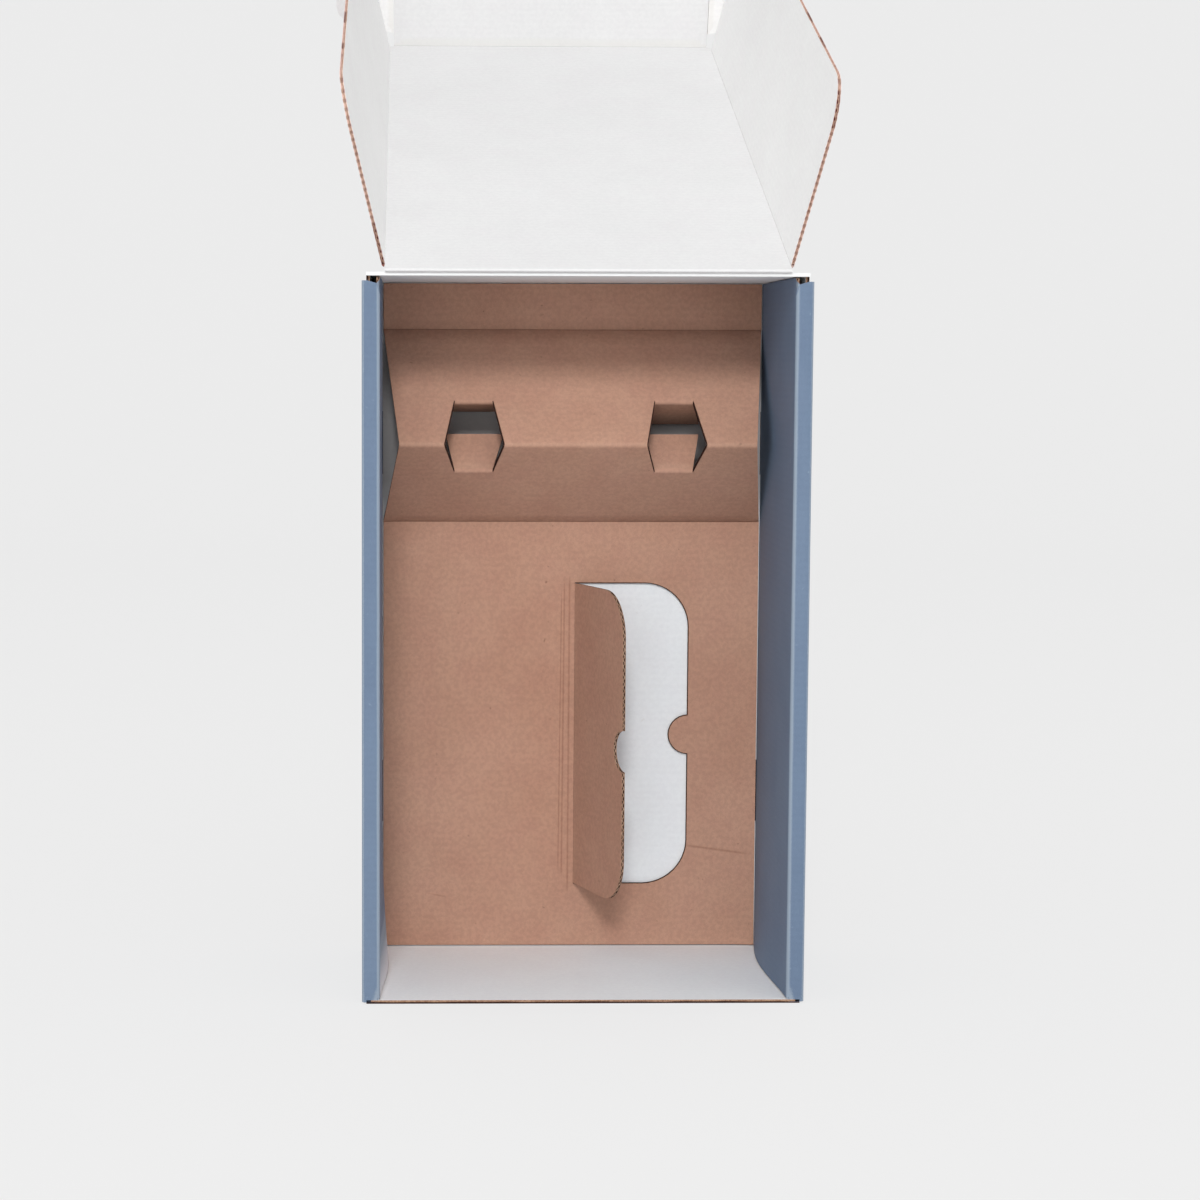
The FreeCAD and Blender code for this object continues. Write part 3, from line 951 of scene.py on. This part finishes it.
def make_lid():
    """Lid panel with the rounded bead of its hinge."""
    sheet = Sheet("lid_board", "lid_board", lid_finishes(shaded_lid_white))

    def place(a, s, depth):
        dip = 0.5 * math.sin(math.pi * min(1.0, max(0.0, s / lid_length)))
        dip *= math.cos(math.pi * a / 200.0) ** 2
        return on_lid(a, s, depth - board - dip * 0.6)

    outline = [(-lid_half, 0.0), (lid_half, 0.0), (lid_half, lid_length - board),
               (tuck_half, lid_length - board), (tuck_half, lid_length),
               (-tuck_half, lid_length), (-tuck_half, lid_length - board),
               (-lid_half, lid_length - board)]
    rows = [1.5, 3.0, lid_length - 3.0, lid_length - 1.6]
    sheet.cut(outline, place, rows=rows, sealed=lambda point: True)
    for start, stop, slot in ((90, 228, inner_face), (228, 270, outer_face)):
        spokes = [(on_lid(0, math.cos(math.radians(turn)), math.sin(math.radians(turn)))
                   - on_lid(0, 0, 0)) * board / 2 for turn in (start, stop)]
        sheet.wedge(on_lid(-lid_half, 0, -board / 2), on_lid(lid_half, 0, -board / 2),
                    *spokes, slot)
    sheet.finished("lid", "lid")


def wing_outline():
    """Flat outline of a wing: along the lid, and away from it."""
    near, far = wing_end, lid_length - wing_end
    middle = wing_reach - wing_corner
    return [(near, 0.0),
            *reversed(arc_points((near + wing_corner, middle), wing_corner, 90, 180, 12)),
            *reversed(arc_points((far - wing_corner, middle), wing_corner, 0, 90, 12)),
            (far, 0.0)]


def make_wing(side, splay, name, body, node):
    """Wing on one side of the lid: side is 1 for the right and -1 for the left."""
    lean = math.radians(splay)
    up = Vector((math.sin(lean), 0.0, math.cos(lean)))
    out = Vector((math.cos(lean), 0.0, -math.sin(lean)))
    sheet = Sheet(name, "lid_board", lid_finishes())

    def place(a, s, depth):
        bow = math.sin(math.pi * min(1.0, s / 84.0)) * math.sin(math.pi * a / lid_length)
        rise = s + fold_room * (1.0 - s / wing_reach)
        spot = up * rise + out * (thinned(board - depth) + 0.7 * bow)
        return on_lid(side * (lid_half + spot.x), a, spot.z)

    sheet.cut(wing_outline(), place, step=8.0, sealed=lambda point: point[1] < 0.02)
    reach = 90 - splay - 12.0
    edge = side * (lid_half + fold_room)
    start, end = on_lid(edge, wing_end, 0.0), on_lid(edge, lid_length - wing_end, 0.0)

    def spoke(turn):
        angle = lean + math.radians(turn)
        radius = board - fold_room
        return on_lid(side * radius * math.cos(angle), 0.0,
                      -radius * math.sin(angle)) - on_lid(0, 0, 0)

    sheet.wedge(start, end, spoke(0.0), spoke(reach))
    sheet.finished(body, node)


def make_tuck():
    """Tuck flap at the lid's far edge, with the rounded outside of its fold."""
    sheet = Sheet("tuck_board", "lid_board", lid_finishes(shaded_lid_white))
    sheet.cut([(-tuck_half, 0.0), (tuck_half, 0.0), (tuck_half, tuck_reach),
               (-tuck_half, tuck_reach)],
              lambda a, s, depth: on_tuck(a, s + fold_room * (1.0 - s / tuck_reach),
                                          -thinned(board - depth)),
              step=8.0, sealed=lambda point: point[1] < 0.02,
              wear_and_painted_light=lambda point: max(0.0, 1.0 - point[1] / 1.3))
    corner = on_lid(0, lid_length, 0)

    def spoke(angle):
        radius = board - fold_room
        return on_lid(0, lid_length + radius * math.cos(angle),
                      radius * math.sin(angle)) - corner

    edge = lid_length + fold_room
    sheet.wedge(on_lid(-tuck_half, edge, 0), on_lid(tuck_half, edge, 0),
                spoke(tuck_angle - math.pi / 2), spoke(math.radians(-88.0)))
    sheet.finished("tuck", "tuck_flap")


def make_ear(side, name, body, node):
    """Ear of the tuck flap, with a sloped inner edge and two round corners."""
    root, tip, radius = tuck_half + ear_gap, tuck_half + ear_reach, ear_corner
    slope = math.atan2(8.0, tip - root)
    low_turn = math.radians(90) - slope
    shift = radius * math.tan(low_turn / 2)
    points = [(root, 7.0)]
    start = (tip - shift * math.cos(slope), 15.0 - shift * math.sin(slope))
    centre = (start[0] - radius * math.sin(slope), start[1] + radius * math.cos(slope))
    points += arc_points(centre, radius, math.degrees(slope) - 90, 0, 8)
    points += arc_points((tip - radius, tuck_reach - radius), radius, 0, 90, 8)
    points.append((root, tuck_reach))
    sheet = Sheet(name, "lid_board", lid_finishes())
    sheet.cut(points, lambda a, s, depth: on_tuck(side * a, s, depth - board),
              step=6.0, sealed=lambda point: point[0] < root + 0.02,
              wear_and_painted_light=lambda point: max(0.0, 1.0 - (point[0] - root)))
    sheet.finished(body, node)


# Tray

wall_half = half_width - board - 0.4
tab_place, tab_half = 79.2, 15.0
tab_middles = (tab_place, tray_length - tab_place)


def make_tray():
    """Tray of the outer box: middle panels, rolled sides and corner flaps."""
    sheet = Sheet("tray_board", "tray_board",
                  [blue_print, white_liner, cut_paper, groove_shade_paper, maroon_print])
    add_middle_panels(sheet)
    for side in (-1, 1):
        add_rolled_side(sheet, side)
        for low in (True, False):
            add_corner_flap(sheet, side, low)
    sheet.finished("tray", "tray")


def add_middle_panels(sheet):
    """Front wall, bottom and back wall, folded from one strip of the blank."""
    half = board / 2
    line = FoldedLine([(half, rim_y), (half, bottom_y - half),
                       (tray_length - half, bottom_y - half), (tray_length - half, rim_y)],
                      1.0)
    s_low, s_high = line.places[1:3]
    s_end = line.places[3]

    def place(a, s, depth):
        point, normal = line.at(s)
        spot = point + normal * (half - depth)
        return (a, spot.y, spot.x)

    slots = []
    slot_room = 0.3
    inner, outer = inner_half - slot_room, inner_half + board + slot_room
    for middle in tab_middles:
        for low, high in ((inner, outer), (-outer, -inner)):
            start = s_low + middle - tab_half - slot_room - half
            end = s_low + middle + tab_half + slot_room - half
            slots.append([(low, start), (high, start), (high, end), (low, end)])

    def sealed(point):
        if point[1] > s_end - 0.05:
            return "inner"
        return abs(point[0]) > wall_half - 0.05

    def shade(point):
        """Painted shade on the inner face of the board under the tent."""
        z = point[1] - s_low
        under_tent = min(z - fold_front - 5.5, fold_rear - 5.7 - z) / 8.0
        return max(0.0, min(1.0, under_tent))

    # The front rim has a thick outer edge, drawn as a dark band of painted shade
    sheet.cut([(-wall_half, 0.0), (wall_half, 0.0), (wall_half, s_end), (-wall_half, s_end)],
              place, middle_face, slots, line.rows(), 9.0, sealed,
              near_folds((s_low, s_high, s_end), 1.6),
              thick_outer_edge=lambda point: point[1] < 0.05, shade=shade)


def add_rolled_side(sheet, side):
    """Side wall: outer panel, rim strip and inner panel with its locking tabs."""
    half = board / 2
    line = FoldedLine([(wall_half, bottom_y - half), (half_width - half, bottom_y - half),
                       (half_width - half, rim_y + half), (inner_half + half, rim_y + half),
                       (inner_half + half, floor_y)], 0.9)
    s_wall, s_strip, s_inner, s_end = line.places[1:]
    low, high = 0.6, tray_length - 3.8
    inner_low, inner_high = 2.1, tray_length - board - 0.4
    notch = s_inner - half
    outline = [(low, 0.0), (high, 0.0), (high, notch - 4.0), (high - 1.2, notch),
               (inner_high, notch + 2.0), (inner_high, s_end)]
    for middle in reversed(tab_middles):
        outline += [(middle + tab_half, s_end), (middle + tab_half, s_end + board),
                    (middle - tab_half, s_end + board), (middle - tab_half, s_end)]
    outline += [(inner_low, s_end), (inner_low, s_inner), (low, s_inner)]

    def place(a, s, depth):
        point, normal = line.at(s)
        spot = point + normal * (half - depth)
        bow = 0.0
        if s > s_inner + 2:
            share = (s - s_inner - 2) / (s_end - s_inner - 2)
            deep = math.sin(math.pi * min(1.0, share) ** 1.35) if share < 1 else 0.0
            bow = deep * (0.4 + 3.3 * max(0.0, 1.0 - a / 70.0) ** 2)
        return (side * (spot.x - bow), spot.y, a)

    def wear_and_painted_light(point):
        a, s = point
        fold = max(0.0, 1.0 - abs(s - s_inner) / 1.5)
        outer = 0.75 * max(0.0, 1.0 - min(abs(s - s_strip), abs(s - s_wall)) / 1.1)
        ends = 0.45 * max(0.0, 1.0 - min(abs(a - low), abs(high - a)) / 1.2)
        # Painted light: a pale patch on the left inner panel near the front wall
        painted_pale_patch = 2.3 * max(0.0, 1.0 - a / 36.0) if side < 0 and s > s_inner + 1.5 else 0.0
        return max(fold, outer, ends, painted_pale_patch)

    sheet.cut(outline, place, outer_face, (), line.rows(), 8.0,
              lambda point: point[1] < 0.05, wear_and_painted_light, lambda point: point[0])


def add_corner_flap(sheet, side, low):
    """Corner flap of the front wall or the back wall, in the hollow of a side wall."""
    top = rim_y + board + 1.0
    points = [(0.0, rim_y + board), (board, top), (62.0, top + 9.0), (62.0, floor_y - 9.0),
              (board, floor_y), (0.0, floor_y)]

    def place(a, s, depth):
        z = a if low else tray_length - a
        return (side * (wall_half - depth), s, z)

    sheet.cut(points, place, middle_face, sealed=lambda point: point[0] < 0.05,
              thick_outer_edge=lambda point: True)


make_insert()
make_divider()
make_lid()
make_wing(1, 11.0, "right_wing_board", "right_wing", "lid_wing_right")
make_wing(-1, 12.5, "left_wing_board", "left_wing", "lid_wing_left")
make_tuck()
make_ear(1, "right_ear_board", "right_ear", "tuck_ear_right")
make_ear(-1, "left_ear_board", "left_ear", "tuck_ear_left")
make_tray()


# Camera, light and floor

def look_out():
    """Camera at the photograph's place, with its lens and framing."""
    yaw, pitch, roll = 0.0186, 0.08387, 0.00263
    focal, centre_x, centre_y = 2356.72, 451.43, 553.48
    forward = Vector((math.sin(yaw) * math.cos(pitch), math.cos(yaw) * math.cos(pitch),
                      -math.sin(pitch)))
    right = Vector((math.cos(yaw), -math.sin(yaw), 0.0))
    up = right.cross(forward)
    level = (right * math.cos(roll) + up * math.sin(roll)).normalized()
    upright = (up * math.cos(roll) - right * math.sin(roll)).normalized()
    data = bpy.data.cameras.new("view")
    data.sensor_width = 36.0
    data.lens = focal / 1200 * 36.0
    data.shift_x = (600 - centre_x) / 1200
    data.shift_y = (centre_y - 600) / 1200
    data.clip_start = 0.01
    data.clip_end = 50.0
    camera = added("view", data)
    turn = Matrix((level, upright, -forward)).transposed().to_4x4()
    camera.matrix_world = Matrix.Translation(Vector((-79.98, -1099.87, 293.23)) * MM) @ turn
    bpy.context.scene.camera = camera


def soft_lamp(name, place, aim, size, power):
    data = bpy.data.lights.new(name, "AREA")
    data.shape = "DISK"
    data.size = size
    data.energy = power
    lamp = added(name, data)
    direction = Vector(aim) - Vector(place)
    lamp.matrix_world = (Matrix.Translation(place)
                         @ direction.to_track_quat("-Z", "Y").to_matrix().to_4x4())


def light_room():
    """Two soft lamps in a pale room, which looks paler than it lights."""
    world = bpy.data.worlds.new("pale room")
    bpy.context.scene.world = world
    world.use_nodes = True
    tree = world.node_tree
    tree.nodes.clear()
    path = tree.nodes.new("ShaderNodeLightPath").outputs
    seen = path["Is Camera Ray"]
    for ray in ("Is Glossy Ray", "Is Transmission Ray"):
        seen = new_node(tree, "ShaderNodeMath", {"operation": "MAXIMUM"},
                        {0: seen, 1: path[ray]}).outputs[0]
    mix = new_node(tree, "ShaderNodeMix", {"data_type": "RGBA"},
                   {0: seen, 6: (0.74, 0.74, 0.74, 1.0), 7: tone(235, 235, 235)})
    background = new_node(tree, "ShaderNodeBackground", {}, {0: mix.outputs[2]})
    new_node(tree, "ShaderNodeOutputWorld", {}, {0: background.outputs[0]})
    soft_lamp("key lamp", (-0.25, -2.95, 1.90), (0.0, 0.0, 0.2), 0.7, 49.0)
    soft_lamp("fill lamp", (-0.80, -3.0, 0.9), (0.0, 0.0, 0.2), 1.4, 5.0)


def lay_floor():
    """Pale sweep: a flat floor that rises behind the box without an edge."""
    mesh = bmesh.new()
    line = [(-4.0, 0.0), (2.2, 0.0)]
    for step in range(1, 13):
        angle = math.radians(90 * step / 12)
        line.append((2.2 + 1.2 * math.sin(angle), 1.2 - 1.2 * math.cos(angle)))
    line.append((3.4, 6.0))
    rows = [[mesh.verts.new((x, y, z)) for y, z in line] for x in (-5.0, 5.0)]
    for index in range(len(line) - 1):
        mesh.faces.new((rows[0][index], rows[1][index], rows[1][index + 1],
                        rows[0][index + 1])).smooth = True
    floor = added_mesh("floor", mesh)
    paint = Finish("pale floor")
    path = paint.node("ShaderNodeLightPath", {}, {})
    seen = path[0].math("MAXIMUM", path[3]).math("MAXIMUM", path[6])
    base = paint.blend(seen, (0.80, 0.80, 0.80, 1.0), (0.16, 0.16, 0.16, 1.0))
    glow = paint.blend(seen, (0.0, 0.0, 0.0, 1.0), (0.70, 0.70, 0.70, 1.0))
    floor.data.materials.append(paint.surface({"Base Color": base, "Roughness": 0.9,
                                               "Specular IOR Level": 0.0,
                                               "Emission Color": glow,
                                               "Emission Strength": 1.0}))


look_out()
light_room()
lay_floor()
bpy.context.scene.view_settings.view_transform = "Standard"
